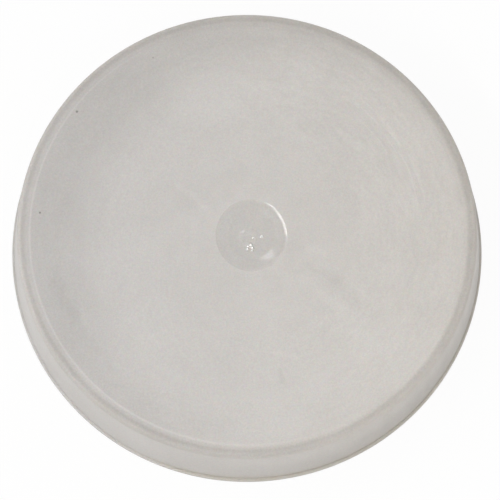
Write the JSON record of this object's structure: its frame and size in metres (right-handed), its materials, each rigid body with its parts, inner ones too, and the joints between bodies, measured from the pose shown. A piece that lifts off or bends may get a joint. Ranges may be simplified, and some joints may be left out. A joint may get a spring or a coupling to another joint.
{
  "type": "demijohn cap",
  "caption": "Round push-on cap for a wide glass demijohn neck: shallow flared skirt, inner catch bead, slightly sunk closing plate with a gate dimple.",
  "frame": {"origin": "centre of the cap's foot, on the surface it lies on, open side down", "axes": "+Z is the cap's axis and points out of the closed face; the cap is round, so X and Y are free"},
  "size_m": [0.0716, 0.0716, 0.0115],
  "materials": {
    "natural_polyethylene": "milky translucent, satin as moulded, with faint flow marks and scuffs"
  },
  "bodies": {
    "root": {"demijohn_cap": "natural_polyethylene"}
  },
  "joints": []
}
